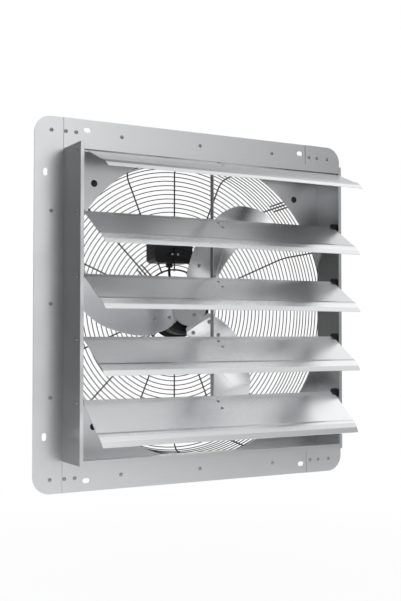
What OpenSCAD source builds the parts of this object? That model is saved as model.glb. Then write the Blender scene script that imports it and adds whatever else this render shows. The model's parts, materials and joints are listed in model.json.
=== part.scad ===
// Shutter exhaust fan for a wall opening: a square casing with five linked louvers,
// a three blade fan on a motor, and a wire guard that carries the motor.
// Millimetres. X right, Y into the building, Z up, origin at the centre of the wall face.

/* [Casing] */
// width and height of the box that stands in front of the flange
casing_size = 640; // [500:1:800]
// front edge of the box to the front face of the flange
casing_depth = 90; // [60:1:140]
// sheet of the casing
sheet_t = 1.2; // [0.8:0.1:2]
// width of the lip turned in at each side
side_lip = 7.5; // [4:0.5:20]
// width of the lip turned in at the top
top_lip = 15; // [8:0.5:25]
// width of the lip turned in at the bottom
bottom_lip = 10; // [6:0.5:20]

/* [Flange] */
// flange outside the box, all round
flange_w = 64; // [40:1:100]
// radius of the flange's outer corners
flange_corner_r = 36; // [5:1:60]
// how far a corner tab laps over the next flange
tab_lap = 36; // [20:1:60]
// width of a mounting slot
slot_w = 10; // [6:0.5:14]
// length of a mounting slot over its round ends
slot_len = 16; // [10:0.5:30]
// slot centre from the centre line, along its side
slot_along = 268.5; // [200:0.5:300]
// slot centre outside the box on the left and right
slot_out_side = 40; // [20:0.5:60]
// slot centre outside the box at the top and bottom
slot_out_top = 42.5; // [20:0.5:60]
// rivet outside the box on the left and right
rivet_out_side = 27.5; // [15:0.5:50]
// rivet outside the box at the top and bottom
rivet_out_top = 35.5; // [15:0.5:50]
// outer rivet of a side from the middle one
rivet_along = 190; // [100:1:260]
// radius of a flange rivet's head
rivet_head_r = 4.2; // [2:0.1:6]

/* [Fan panel] */
// sheet of the fan panel
panel_t = 1.2; // [0.8:0.1:2]
// radius of the round opening
opening_r = 332; // [250:1:340]
// guard bolt from the centre line, both ways
guard_bolt_at = 252.5; // [200:0.5:300]
// radius of a guard bolt's domed head
guard_bolt_head_r = 7.4; // [5:0.1:12]

/* [Louvers] */
// upper pivot below the top of the box
first_pivot_drop = 13.7; // [10:0.1:30]
// pivot to pivot
louver_pitch = 125.55; // [80:0.05:160]
// pivots behind the front edge of the box
pivot_depth = 19; // [10:0.5:40]
// pivot to the louver's free edge
louver_chord = 126; // [90:0.5:150]
// length of a louver
louver_len = 615; // [500:1:700]
// sheet of a louver
louver_t = 1; // [0.6:0.1:2]
// slope of each louver below level as drawn, from the top one down
louver_slopes = [22, 32, 32, 33.5, 39.5];
// end of a louver cut back at its free edge
louver_end_cut = 3; // [0:0.5:12]
// radius of the tube rolled at a louver's upper edge
louver_tube_r = 3.6; // [3:0.1:6]
// radius of a pivot pin
pivot_pin_r = 2.25; // [1.5:0.05:4]
// radius of a black bush beside a louver
bush_r = 11; // [6:0.5:14]

/* [Tie bar] */
// pin of the tie bar from the louver's pivot
crank_r = 22; // [12:0.5:30]
// slope of the crank below level when the louvers are as drawn
crank_slope = 47; // [10:1:80]
// middle of the bar's thickness, from the centre line
bar_x = -1.65; // [-20:0.05:20]
// thickness of the bar
bar_t = 2; // [1:0.1:4]
// width of the bar
bar_w = 12; // [6:0.5:20]
// radius of a tie pin
tie_pin_r = 2; // [1:0.1:3]
// length of a bracket's foot
foot_len = 32; // [20:1:50]
// width of a bracket's foot
foot_w = 10.8; // [6:0.1:20]
// sheet of a bracket
bracket_t = 1.2; // [0.8:0.1:2]

/* [Fan] */
// radius of the blade tips
blade_tip_r = 295; // [200:1:320]
// sheet of a blade
blade_t = 1.6; // [1:0.1:3]
// radius the blades are rolled to
blade_roll_r = 300; // [150:5:600]
// pitch of the blades
blade_pitch = 9.5; // [4:0.5:35]
// forward lean of the blades
blade_lean = 4; // [0:0.5:12]
// direction of the first blade's line, from the right
blade_turn = 62.8; // [0:0.1:120]
// where the blades' line crosses the shaft, behind the flange's front face
blade_depth = 48.8; // [30:0.1:90]
// radius of the spider's centre
spider_r = 43; // [25:1:60]
// sheet of the spider
spider_t = 3; // [1.5:0.1:5]
// radius of the shaft
shaft_r = 6; // [4:0.5:12]

/* [Guard] */
// flat back of the guard behind the wall face, to the middle of its spokes
guard_depth = 118.7; // [80:0.1:180]
// radius of the ring in the middle of the guard
centre_ring_r = 87; // [60:1:120]
// ring to ring along a spoke
ring_pitch = 10.25; // [8:0.05:20]
// number of rings outside the middle one
ring_count = 34; // [10:1:40]
// radius where the flat back ends
guard_flat_r = 306; // [200:1:340]
// radius of the bend at the guard's edge
guard_bend_r = 25; // [10:1:50]
// flare of the guard's side
guard_flare = 9.2; // [0:0.1:20]
// radius of a spoke's wire
spoke_wire_r = 1.6; // [1:0.1:3]
// radius of a ring's wire
ring_wire_r = 1.05; // [0.6:0.05:2]
// radius of the middle ring's wire
centre_wire_r = 2; // [1:0.1:3]
// number of spokes
spoke_count = 16; // [8:4:24]
// half the width of a fixing loop
loop_r = 8; // [5:0.5:15]

/* [Motor] */
// radius of the motor's can
motor_r = 62.7; // [40:0.1:90]
// front of the motor behind the wall face
motor_front = 67.7; // [55:0.1:90]
// radius of the plate that carries the motor
motor_plate_r = 72; // [65:0.5:90]
// thickness of that plate
motor_plate_t = 2.5; // [1.5:0.1:5]
// motor screws from the centre
motor_screw_at = 61; // [50:0.5:80]
// radius of the rear cap
rear_cap_r = 49; // [30:0.5:60]
// depth of the rear cap
rear_cap_depth = 30; // [15:1:60]

/* [Control box] */
// width of the box
box_w = 98; // [60:1:160]
// height of the box
box_h = 80; // [50:1:140]
// depth of the box with its lid
box_depth = 47; // [25:1:80]
// underside of the box above the centre
box_low = 103; // [90:1:160]
// radius of the box's corners
box_corner_r = 10; // [2:0.5:20]

/* [Hidden] */
$fn = 96;
fine = 48;
eps = 0.01;
seat = 0.05;       // pieces that rest on each other
play = 0.35;       // pieces that slide past each other
run_fit = 0.08;    // round running fit, on the radius
half = casing_size / 2;
inner = half - sheet_t;
flange_back = -panel_t - seat;
flange_front = flange_back - sheet_t;
front = flange_front - casing_depth;
tab_front = flange_front - sheet_t;
outer = half + flange_w;
side_rivet = half + rivet_out_side;
top_rivet = half + rivet_out_top;
side_slot = half + slot_out_side;
top_slot = half + slot_out_top;
rivet_r = rivet_head_r / 2;
lap_rivet_share = [0.09, 0.72];
pivot_y = front + pivot_depth;
louver_count = len(louver_slopes);
function pivot_z(i) = half - first_pivot_drop - i * louver_pitch;
louver_half = louver_len / 2;
tube_bore_r = pivot_pin_r + run_fit;
// the louver's bends: along the chord and above it, shares of the chord
bend_shares = [[0.024, 0.0095], [0.095, 0.029], [0.722, 0.029], [0.77, 0.040],
    [0.817, 0.037], [0.905, 0.023], [1, -0.0095]];
bend_start_share = 0.75;
pin_bite = 22;
pin_head_r = 4.4;
pin_head_t = 2;
bracket_x = bar_x + bar_t / 2 + play;
foot_start = 12.5;
foot_share = 0.029;
foot_rivet_r = 2;
foot_rivet_head_r = 3.6;
foot_rivet_at = [4.5, 25.5];
tab_round_r = 6.5;
tab_half_w = 5.8;
closed_slope = 80;
open_more = 0.6;
lead_slope = louver_slopes[2];
slot_play = 0.3;
bar_over = 8;
pin_head_gap = 0.3;
tie_head_r = 4;
tie_head_t = 1.4;
// the blade's edge: out along its line and across it, shares of the tip radius
blade_shares = [[0.152, -0.112], [0.150, 0.085], [0.168, 0.128], [0.218, 0.158], [0.300, 0.182],
    [0.390, 0.197], [0.460, 0.198], [0.520, 0.190], [0.593, 0.173], [0.655, 0.152], [0.712, 0.132],
    [0.760, 0.109], [0.802, 0.080], [0.848, 0.042], [0.890, -0.004], [0.922, -0.062], [0.950, -0.140],
    [0.966, -0.215], [0.967, -0.250], [0.957, -0.290], [0.935, -0.335], [0.912, -0.362], [0.890, -0.352],
    [0.868, -0.300], [0.845, -0.250], [0.800, -0.226], [0.735, -0.211], [0.660, -0.186], [0.585, -0.154],
    [0.510, -0.136], [0.420, -0.123], [0.300, -0.116], [0.200, -0.114]];
edge_steps = 3;
blade_rivets_at = [[55, 22.8], [55, -22.8], [92, 25], [92, -25]];
blade_rivet_r = 2.4;
blade_rivet_head_r = 4.6;
blade_rivet_head_t = 2.2;
arm_in = 36;
arm_out = 106;
arm_low = -33;
arm_high = 35;
arm_corner_r = 8;
hub_flange_r = 29;
hub_flange_t = 4;
hub_r = 17;
hub_nose_r = 9.5;
hub_nose = 5.5;
hub_gap = 2;
hub_rivet_at = 22.4;
set_screw_r = 3;
spider_back = blade_depth;
spider_front = spider_back - spider_t;
hub_front = spider_front - hub_nose;
hub_flange_front = spider_back + seat;
hub_back = motor_front - hub_gap;
shaft_front = hub_front - hub_gap;
joint_gap = 0.05;
joint_rise = 0.03;
loop_wire_r = spoke_wire_r;
ring_layer = spoke_wire_r + ring_wire_r + seat;
centre_layer = spoke_wire_r + centre_wire_r + seat;
bend_y = guard_depth - guard_bend_r;
bend_sweep = 90 - guard_flare;
bend_len = guard_bend_r * bend_sweep * PI / 180;
side_r0 = guard_flat_r + guard_bend_r * cos(guard_flare);
side_y0 = bend_y + guard_bend_r * sin(guard_flare);
base_y = spoke_wire_r + seat;
side_len = (side_y0 - base_y) / cos(guard_flare);
side_r1 = side_r0 + side_len * sin(guard_flare);
// radius and depth of a point s along a spoke, o inside its middle
function guard_r(s, o) = s <= guard_flat_r ? s
    : s <= guard_flat_r + bend_len ? guard_flat_r
        + (guard_bend_r - o) * sin((s - guard_flat_r) / guard_bend_r * 180 / PI)
    : side_r0 - o * cos(guard_flare) + (s - guard_flat_r - bend_len) * sin(guard_flare);
function guard_y(s, o) = s <= guard_flat_r ? guard_depth - o
    : s <= guard_flat_r + bend_len ? bend_y
        + (guard_bend_r - o) * cos((s - guard_flat_r) / guard_bend_r * 180 / PI)
    : side_y0 - o * sin(guard_flare) - (s - guard_flat_r - bend_len) * cos(guard_flare);
motor_loop_out = centre_ring_r + 4 * ring_pitch;
plate_back = guard_depth - loop_wire_r - seat;
plate_front = plate_back - motor_plate_t;
motor_edge_r = 8;
cap_depth = 14;
can_wall = 3;
can_front = motor_front + cap_depth + seat;
can_back = plate_front - seat;
rear_front = plate_back + seat;
rear_back = rear_front + rear_cap_depth;
bearing_r = 14;
bearing_t = 9;
bearing_in = 3;
bearing_bore = shaft_r + seat;
shaft_way = shaft_r + 1.5;
core_r = 36;
air_gap = 0.5;
core_gap = 3;
case_bolt_at = 52;
case_bolt_r = 3;
case_bolt_head_t = 3;
motor_screw_r = 3;
motor_washer_r = 11.5;
motor_washer_t = 1.5;
motor_screw_head_r = 5;
motor_screw_head_t = 4;
bolt_r = 4;
bolt_dome_t = 4.5;
bolt_len = 16;
bolt_hole_r = bolt_r + seat;
bolt_washer_r = 9;
bolt_washer_t = 1.6;
nut_r = 7.4;
nut_t = 6.5;
corner_bolt_r = guard_bolt_at * sqrt(2);
loop_bend_r = 6;
loop_side = 60;
loop_back = 2 * base_y;
box_front = guard_depth + spoke_wire_r + seat;
lid_t = 6;
box_wall = 3;
lid_front = box_front + box_depth - lid_t;
box_back = box_front + box_depth;
box_mid_z = box_low + box_h / 2;
lid_screw_in = 9;
lid_screw_r = 2;
lid_screw_head_r = 3.8;
lid_screw_head_t = 2.2;
lid_screw_bite = 12;
saddle_w = 22;
saddle_h = 6;
saddle_t = 1.2;
saddle_rise = 2 * spoke_wire_r + seat;
saddle_at = [centre_ring_r + 3.5 * ring_pitch, centre_ring_r + 8.5 * ring_pitch];
saddle_screw_at = 7.6;
saddle_screw_r = 1.4;
saddle_screw_head_r = 2.6;
saddle_screw_head_t = 1.4;
gland_y = box_front + 24;
gland_r = 9;
gland_h = 9;
lead_r = 3.1;
lead_end_y = rear_front + 12;
lead_bend_r = 16;
lead_turn = 45;
lead_low = 6;
lead_into = 6;
grommet_r = 6;
grommet_t = 3;
metal = [0.78, 0.79, 0.8];
dull = [0.62, 0.64, 0.66];
dark = [0.12, 0.12, 0.13];

// ---- shared shapes

// a flat shape in X and Z, from y - t to y
module plate(y, t) {
    translate([0, y, 0]) rotate([90, 0, 0]) linear_extrude(t) children();
}

module soft_square(w, h, r) {
    square([w, h - 2 * r], center = true);
    square([w - 2 * r, h], center = true);
    for (x = [-1, 1], z = [-1, 1]) translate([x * (w / 2 - r), z * (h / 2 - r)]) circle(r);
}

module slot(len, w) {
    square([len - w, w], center = true);
    for (x = [-1, 1]) translate([x * (len - w) / 2, 0]) circle(w / 2, $fn = fine);
}

// a round bar along Y from y0 to y1
module bar_y(r, y0, y1) {
    translate([0, y0, 0]) rotate([-90, 0, 0]) cylinder(h = y1 - y0, r = r);
}

module bar_x(r, x0, x1) {
    translate([x0, 0, 0]) rotate([0, 90, 0]) cylinder(h = x1 - x0, r = r, $fn = fine);
}

// a low dome on the front of plane z = 0, pointing down
module dome(r, t) {
    ball = (r * r + t * t) / (2 * t);
    intersection() {
        translate([0, 0, ball - t]) sphere(ball, $fn = fine);
        translate([0, 0, -t]) cylinder(h = t, r = r + eps, $fn = fine);
    }
}

module dome_front(y, r, t) {
    translate([0, y, 0]) rotate([-90, 0, 0]) dome(r, t);
}

// ---- casing

module flange_shape() {
    difference() {
        soft_square(2 * outer, 2 * outer, flange_corner_r);
        square(2 * inner, center = true);
        mount_slots();
        rivet_holes();
    }
}

module mount_slots() {
    for (x = [-1, 1], z = [-1, 1]) {
        translate([x * slot_along, z * top_slot]) slot(slot_len, slot_w);
        translate([x * side_slot, z * slot_along]) rotate(90) slot(slot_len, slot_w);
    }
}

lap_x = [for (s = lap_rivet_share) half - tab_lap * s];
side_spots = [for (x = [-1, 1], z = [-1, 0, 1]) [x * side_rivet, z * rivet_along]];
top_spots = [for (z = [-1, 1], x = [-1, 0, 1]) [x * rivet_along, z * top_rivet]];
corner_spots = [for (x = [-1, 1], z = [-1, 1]) [x * side_rivet, z * top_rivet]];
lap_spots = [for (x = [-1, 1], z = [-1, 1], l = lap_x) [x * l, z * top_rivet]];
flange_spots = concat(side_spots, top_spots, corner_spots);

module rivet_holes() {
    for (p = concat(flange_spots, lap_spots)) translate(p) circle(rivet_r + seat, $fn = fine);
}

module pivot_holes(s) {
    for (i = [0 : louver_count - 1]) translate([0, pivot_y, pivot_z(i)])
        bar_x(tube_bore_r, s * half - sheet_t - eps, s * half + sheet_t + eps);
}

// one side of the box: wall, front lip, flange and its two corner tabs
module casing_side(s) {
    difference() {
        union() {
            translate([s > 0 ? inner : -half, front, -half])
                cube([sheet_t, casing_depth + sheet_t, casing_size]);
            translate([s > 0 ? half - side_lip : -half, front, seat - inner])
                cube([side_lip, sheet_t, 2 * (inner - seat)]);
            plate(flange_back, sheet_t) intersection() {
                flange_shape();
                translate([s * (inner + outer) / 2, 0]) square([outer - inner, 2 * outer], center = true);
            }
            plate(flange_front, sheet_t) for (z = [-1, 1]) difference() {
                translate([s > 0 ? half - tab_lap : -half - sheet_t, z > 0 ? half + seat : -outer])
                    square([tab_lap + sheet_t, flange_w - seat]);
                rivet_holes();
                mount_slots();
            }
        }
        pivot_holes(s);
    }
}

module casing_left() { color(metal) casing_side(-1); }
module casing_right() { color(metal) casing_side(1); }

module casing_end(s, lip) {
    span = inner - seat;
    lip_span = half - side_lip - seat;
    translate([-span, front, s > 0 ? inner : -half]) cube([2 * span, casing_depth + sheet_t, sheet_t]);
    translate([-lip_span, front, s > 0 ? half - lip : -half]) cube([2 * lip_span, sheet_t, lip]);
    plate(flange_back, sheet_t) intersection() {
        flange_shape();
        translate([0, s * (inner + outer) / 2])
            square([2 * span, outer - inner], center = true);
    }
}

module casing_top() { color(metal) casing_end(1, top_lip); }
module casing_bottom() { color(metal) casing_end(-1, bottom_lip); }

module fan_panel() {
    color(dull) plate(0, panel_t) difference() {
        soft_square(2 * outer, 2 * outer, flange_corner_r);
        circle(opening_r, $fn = 2 * $fn);
        mount_slots();
        rivet_holes();
        for (x = [-1, 1], z = [-1, 1]) translate([x * guard_bolt_at, z * guard_bolt_at])
            circle(bolt_hole_r, $fn = fine);
    }
}

module flange_rivet(y) {
    dome_front(y - seat, rivet_head_r, rivet_r / 2);
    bar_y(rivet_r, y - seat, -seat);
}

module flange_rivets() {
    color(metal) {
        for (p = flange_spots) translate([p[0], 0, p[1]]) flange_rivet(flange_front);
        for (p = lap_spots) translate([p[0], 0, p[1]]) flange_rivet(tab_front);
    }
}

// ---- louvers

module pivot_bushes() {
    color(dark) for (i = [0 : louver_count - 1], s = [-1, 1]) translate([0, pivot_y, pivot_z(i)])
        difference() {
            bar_x(bush_r, s > 0 ? louver_half + play : -inner + seat,
                s > 0 ? inner - seat : -louver_half - play);
            bar_x(pivot_pin_r + seat, s > 0 ? louver_half : -half, s > 0 ? half : -louver_half);
        }
}

module pivot_pins() {
    color(metal) for (i = [0 : louver_count - 1], s = [-1, 1])
        translate([0, pivot_y, pivot_z(i)]) rotate([0, 0, s > 0 ? 180 : 0]) {
            bar_x(pivot_pin_r, -half - seat, pin_bite - louver_half);
            translate([-half - seat, 0, 0]) rotate([0, 90, 0]) dome(pin_head_r, pin_head_t);
        }
}

// louver frame: the sheet runs out along x, its outer face towards y, z along the pivot
module at_louver(i) {
    translate([0, pivot_y, pivot_z(i)]) rotate([louver_slopes[i], 0, 0]) rotate([90, 0, -90]) children();
}

module louver(i) {
    bends = [for (b = bend_shares) b * louver_chord];
    at_louver(i) intersection() {
        translate([0, 0, -louver_half]) difference() {
            union() {
                cylinder(h = louver_len, r = louver_tube_r);
                linear_extrude(louver_len) polygon(concat([for (b = bends) b + [0, louver_t / 2]],
                    [for (k = [len(bends) - 1 : -1 : 0]) bends[k] - [0, louver_t / 2]]));
            }
            translate([0, 0, -eps]) cylinder(h = louver_len + 2 * eps, r = tube_bore_r);
        }
        translate([0, louver_chord / 2, 0]) rotate([90, 0, 0]) linear_extrude(louver_chord)
            polygon([[-2 * louver_tube_r, -louver_half], [louver_chord * bend_start_share, -louver_half],
                [louver_chord + eps, louver_end_cut - louver_half],
                [louver_chord + eps, louver_half - louver_end_cut],
                [louver_chord * bend_start_share, louver_half], [-2 * louver_tube_r, louver_half]]);
    }
}

module louver_1() { color(metal) difference() { louver(0); foot_holes(0); } }
module louver_2() { color(metal) difference() { louver(1); foot_holes(1); } }
module louver_3() { color(metal) difference() { louver(2); foot_holes(2); } }
module louver_4() { color(metal) difference() { louver(3); foot_holes(3); } }
module louver_5() { color(metal) difference() { louver(4); foot_holes(4); } }

sheet_under = foot_share * louver_chord - louver_t / 2;
foot_top = sheet_under - seat;
foot_mid = -(bracket_x + bracket_t - foot_w / 2);
// where the tie pin sits in every bracket once the louvers are shut
shut_turn = closed_slope - lead_slope;
slot_share = 1 + open_more / shut_turn;
pin_turn = 180 + crank_slope - shut_turn + closed_slope;
slot_low = (closed_slope - louver_slopes[0]) * slot_share - (shut_turn + open_more);
slot_high = shut_turn + open_more - (closed_slope - louver_slopes[louver_count - 1]) * slot_share;

module foot_holes(i) {
    at_louver(i) for (a = foot_rivet_at) translate([foot_start + a, 0, foot_mid]) rotate([90, 0, 0])
        cylinder(h = 2 * foot_len, r = foot_rivet_r + seat, center = true, $fn = fine);
}

module bracket(i) {
    pin_at = crank_r * [cos(pin_turn), sin(pin_turn)];
    at_louver(i) difference() {
        union() {
            translate([foot_start, foot_top - bracket_t, foot_mid - foot_w / 2])
                cube([foot_len, bracket_t, foot_w]);
            translate([0, 0, -bracket_x - bracket_t]) linear_extrude(bracket_t) {
                translate(pin_at) circle(tab_round_r, $fn = fine);
                polygon([[foot_start, foot_top], [foot_start + foot_len * tab_foot_share, foot_top],
                    pin_at + tab_half_w * [cos(tab_turn), sin(tab_turn)],
                    pin_at - tab_half_w * [cos(tab_turn), sin(tab_turn)]]);
            }
        }
        translate([0, 0, -bracket_x - 2 * bracket_t]) pin_slot();
        foot_bores();
    }
}

tab_foot_share = 0.7;
tab_turn = -30;

module foot_bores() {
    for (a = foot_rivet_at) translate([foot_start + a, 0, foot_mid]) rotate([90, 0, 0])
        cylinder(h = 2 * foot_len, r = foot_rivet_r + seat, center = true, $fn = fine);
}

// the curved slot that lets the upper and lower louvers lie at their own slopes
module pin_slot() {
    hole = tie_pin_r + slot_play;
    rotate(pin_turn - slot_low) rotate_extrude(angle = slot_low + slot_high)
        translate([crank_r - hole, 0]) square([2 * hole, 3 * bracket_t]);
    for (a = [-slot_low, slot_high]) rotate(pin_turn + a) translate([crank_r, 0, 0])
        cylinder(h = 3 * bracket_t, r = hole - seat, $fn = fine);
}

module bracket_rivet_set(i) {
    color(metal) at_louver(i) for (a = foot_rivet_at) translate([foot_start + a, 0, foot_mid]) {
        rotate([-90, 0, 0]) translate([0, 0, foot_top - bracket_t - seat])
            cylinder(h = louver_t + bracket_t + 4 * seat, r = foot_rivet_r, $fn = fine);
        translate([0, sheet_under + louver_t + 2 * seat, 0]) rotate([90, 0, 0])
            dome(foot_rivet_head_r, foot_rivet_r / 2);
        translate([0, foot_top - bracket_t - seat, 0]) rotate([-90, 0, 0])
            dome(foot_rivet_head_r, foot_rivet_r / 2);
    }
}

module bracket_1() { color(dull) bracket(0); }
module bracket_2() { color(dull) bracket(1); }
module bracket_3() { color(dull) bracket(2); }
module bracket_4() { color(dull) bracket(3); }
module bracket_5() { color(dull) bracket(4); }
module bracket_rivets_1() { bracket_rivet_set(0); }
module bracket_rivets_2() { bracket_rivet_set(1); }
module bracket_rivets_3() { bracket_rivet_set(2); }
module bracket_rivets_4() { bracket_rivet_set(3); }
module bracket_rivets_5() { bracket_rivet_set(4); }

// ---- tie bar, upright whatever the louvers do

pin_y = pivot_y + crank_r * cos(crank_slope);
pin_drop = crank_r * sin(crank_slope);

module tie_bar() {
    low = pivot_z(louver_count - 1) - pin_drop - bar_over;
    high = pivot_z(0) - pin_drop + bar_over;
    color(dull) difference() {
        translate([bar_x - bar_t / 2, pin_y - bar_w / 2, low]) cube([bar_t, bar_w, high - low]);
        for (i = [0 : louver_count - 1]) translate([0, pin_y, pivot_z(i) - pin_drop])
            bar_x(tie_pin_r + seat, bar_x - bar_t, bar_x + bar_t);
    }
}

module tie_pins() {
    left = bar_x - bar_t / 2 - seat;
    right = bracket_x + bracket_t + pin_head_gap;
    color(metal) for (i = [0 : louver_count - 1]) translate([0, pin_y, pivot_z(i) - pin_drop]) {
        bar_x(tie_pin_r, left, right);
        bar_x(tie_head_r, left - tie_head_t, left);
        bar_x(tie_head_r, right, right + tie_head_t);
    }
}

// ---- guard

module guard_bolt_spots() {
    for (x = [-1, 1], z = [-1, 1]) translate([x * guard_bolt_at, 0, z * guard_bolt_at]) children();
}

module guard_bolts() {
    color(dark) guard_bolt_spots() {
        dome_front(-panel_t - seat, guard_bolt_head_r, bolt_dome_t);
        bar_y(bolt_r, -panel_t - seat, bolt_len);
    }
}

module guard_washers() {
    color(metal) guard_bolt_spots() difference() {
        bar_y(bolt_washer_r, loop_back, loop_back + bolt_washer_t);
        bar_y(bolt_r + seat, 0, bolt_len);
    }
}

module guard_nuts() {
    low = loop_back + bolt_washer_t + seat;
    color(metal) guard_bolt_spots() difference() {
        translate([0, low, 0]) rotate([-90, 0, 0]) cylinder(h = nut_t, r = nut_r, $fn = 6);
        bar_y(bolt_r + seat, 0, bolt_len);
    }
}

module wire(len, r) {
    translate([joint_gap, 0, 0]) rotate([0, 90, 0]) cylinder(h = len - 2 * joint_gap, r = r, $fn = fine);
}

// a bend in a wire, with a ball a hair larger than the wire at each end to join it on
module wire_bend(bend_r, r, from, turn) {
    rotate(from) rotate_extrude(angle = turn) translate([bend_r, 0]) circle(r, $fn = fine);
    for (a = [from, from + turn]) rotate(a) translate([bend_r, 0, 0]) sphere(r + joint_rise, $fn = fine);
}

// a wire along the guard's profile in X and Y, out to a length of side
module guard_wire(r0, side) {
    translate([r0, guard_depth, 0]) wire(guard_flat_r - r0, spoke_wire_r);
    translate([guard_flat_r, bend_y, 0]) wire_bend(guard_bend_r, spoke_wire_r, guard_flare, bend_sweep);
    translate([side_r0, side_y0, 0]) rotate(guard_flare - 90) wire(side, spoke_wire_r);
}

module guard_spokes() {
    color(dark) for (k = [0 : spoke_count - 1]) rotate([0, -k * 360 / spoke_count, 0])
        guard_wire(centre_ring_r - centre_wire_r, side_len - spoke_wire_r);
}

module ring(r, y, wire_r) {
    translate([0, y, 0]) rotate([90, 0, 0]) rotate_extrude($fn = 2 * $fn) translate([r, 0]) circle(wire_r, $fn = fine);
}

ring_steps = [for (k = [1 : ring_count - 1]) centre_ring_r + k * ring_pitch];

module guard_ring_set(steps) {
    for (s = steps) ring(guard_r(s, ring_layer), guard_y(s, ring_layer), ring_wire_r);
}

module guard_face_rings() {
    color(dark) guard_ring_set([for (s = ring_steps) if (s <= guard_flat_r) s]);
}

// the rings of the bend and the side, with the thicker one at the foot
module guard_side_rings() {
    color(dark) {
        guard_ring_set([for (s = ring_steps) if (s > guard_flat_r) s]);
        ring(side_r1 - 2 * spoke_wire_r - seat, base_y, spoke_wire_r);
    }
}

module guard_centre_ring() {
    color(dark) ring(centre_ring_r, guard_depth - centre_layer, centre_wire_r);
}

// loops round the motor screws, out to the fourth ring
module motor_loops() {
    color(dark) for (a = [45 : 90 : 315]) rotate([0, -a, 0]) translate([0, guard_depth, 0]) {
        for (s = [-1, 1]) translate([motor_screw_at, 0, s * loop_r])
            wire(motor_loop_out - motor_screw_at, loop_wire_r);
        translate([motor_screw_at, 0, 0]) rotate([90, 0, 0]) wire_bend(loop_r, loop_wire_r, 90, 180);
    }
}

// loops round the panel bolts, turned up the guard's side
module corner_loops() {
    turn = 90 - guard_flare;
    foot_r = side_r1 + loop_foot;
    color(dark) for (a = [45 : 90 : 315]) rotate([0, -a, 0]) {
        for (s = [-1, 1]) translate([0, 0, s * loop_r]) {
            translate([foot_r, base_y, 0]) wire(corner_bolt_r - foot_r, loop_wire_r);
            translate([foot_r, base_y + loop_bend_r, 0]) wire_bend(loop_bend_r, loop_wire_r, 270 - turn, turn);
            translate([foot_r - loop_bend_r * sin(turn), base_y + loop_bend_r * (1 - cos(turn)), 0])
                rotate(90 + guard_flare) wire(loop_side, loop_wire_r);
        }
        translate([corner_bolt_r, base_y, 0]) rotate([90, 0, 0]) wire_bend(loop_r, loop_wire_r, 270, 180);
    }
}

// foot of the loop's bend, so that its side lies along the spokes
loop_foot = loop_bend_r * tan((90 - guard_flare) / 2);

// ---- motor

module motor_spots(r) {
    for (a = [45 : 90 : 315]) rotate([0, -a, 0]) translate([r, 0, 0]) children();
}

module motor_plate() {
    color(dark) difference() {
        bar_y(motor_plate_r, plate_front, plate_back);
        bar_y(shaft_way, 0, guard_depth);
        motor_spots(motor_screw_at) bar_y(motor_screw_r + seat, 0, guard_depth);
    }
}

module motor_can() {
    color(dark) difference() {
        bar_y(motor_r, can_front, can_back);
        bar_y(motor_r - can_wall, 0, guard_depth);
    }
}

module motor_front_cap() {
    low = motor_front + cap_depth;
    color(dark) difference() {
        translate([0, low, 0]) rotate([90, 0, 0]) rotate_extrude() {
            square([motor_r, cap_depth - motor_edge_r]);
            square([motor_r - motor_edge_r, cap_depth]);
            intersection() {
                translate([motor_r - motor_edge_r, cap_depth - motor_edge_r]) circle(motor_edge_r);
                square([motor_r, cap_depth]);
            }
        }
        bar_y(shaft_way, 0, guard_depth);
        bar_y(bearing_r + seat, motor_front + bearing_in, guard_depth);
        motor_spots(case_bolt_at) bar_y(case_bolt_r + seat, 0, guard_depth);
    }
}

module motor_rear_cap() {
    color(dark) difference() {
        bar_y(rear_cap_r, rear_front, rear_back);
        bar_y(bearing_r + seat, rear_front - eps, rear_front + bearing_t + bearing_in);
        translate([0, lead_end_y, 0]) cylinder(h = 2 * rear_cap_r, r = lead_r + seat, $fn = fine);
        translate([0, lead_end_y, rear_cap_r - grommet_t]) cylinder(h = rear_cap_r, r = grommet_r, $fn = fine);
    }
}

module case_bolts() {
    color(metal) motor_spots(case_bolt_at) {
        bar_y(case_bolt_r, motor_front - seat, motor_front + cap_depth);
        bar_y(2 * case_bolt_r - seat, motor_front - seat - case_bolt_head_t, motor_front - seat);
    }
}

module motor_washers() {
    y = guard_depth + loop_wire_r + seat;
    color(metal) motor_spots(motor_screw_at) difference() {
        bar_y(motor_washer_r, y, y + motor_washer_t);
        bar_y(motor_screw_r + seat, 0, 2 * guard_depth);
    }
}

module motor_screws() {
    y = guard_depth + loop_wire_r + motor_washer_t + 2 * seat;
    color(metal) motor_spots(motor_screw_at) {
        bar_y(motor_screw_r, plate_front, y);
        bar_y(motor_screw_head_r, y, y + motor_screw_head_t);
    }
}

module bearing(y) {
    difference() {
        bar_y(bearing_r, y, y + bearing_t);
        bar_y(bearing_bore, y - eps, y + bearing_t + eps);
    }
}

module bearings() {
    color(metal) {
        bearing(motor_front + bearing_in + seat);
        bearing(rear_front + seat);
    }
}

module stator() {
    color(dull) difference() {
        bar_y(motor_r - can_wall - seat, can_front + core_gap, can_back - core_gap);
        bar_y(core_r + air_gap, 0, guard_depth);
    }
}

module rotor_core() {
    color(dull) difference() {
        bar_y(core_r, can_front + core_gap, can_back - core_gap);
        bar_y(bearing_bore, 0, guard_depth);
    }
}

module shaft() { color(metal) bar_y(shaft_r, shaft_front, rear_front + bearing_t); }

// ---- fan

// fan frame: x out along a blade's line, y across it, z towards the louvers
module at_blade(k) { rotate([90, 0, 0]) rotate([0, 0, blade_turn + k * 120]) children(); }

// sheet of the rolled blades between two depths behind its front face
module rolled(t0, t1) {
    translate([0, 0, -blade_depth]) rotate([blade_pitch, -blade_lean, 0])
        translate([0, 0, blade_roll_r]) rotate([0, 90, 0]) difference() {
            cylinder(h = 2.5 * blade_tip_r, r = blade_roll_r + t1, center = true, $fn = 2 * $fn);
            cylinder(h = 3 * blade_tip_r, r = blade_roll_r + t0, center = true, $fn = 2 * $fn);
        }
}

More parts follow.
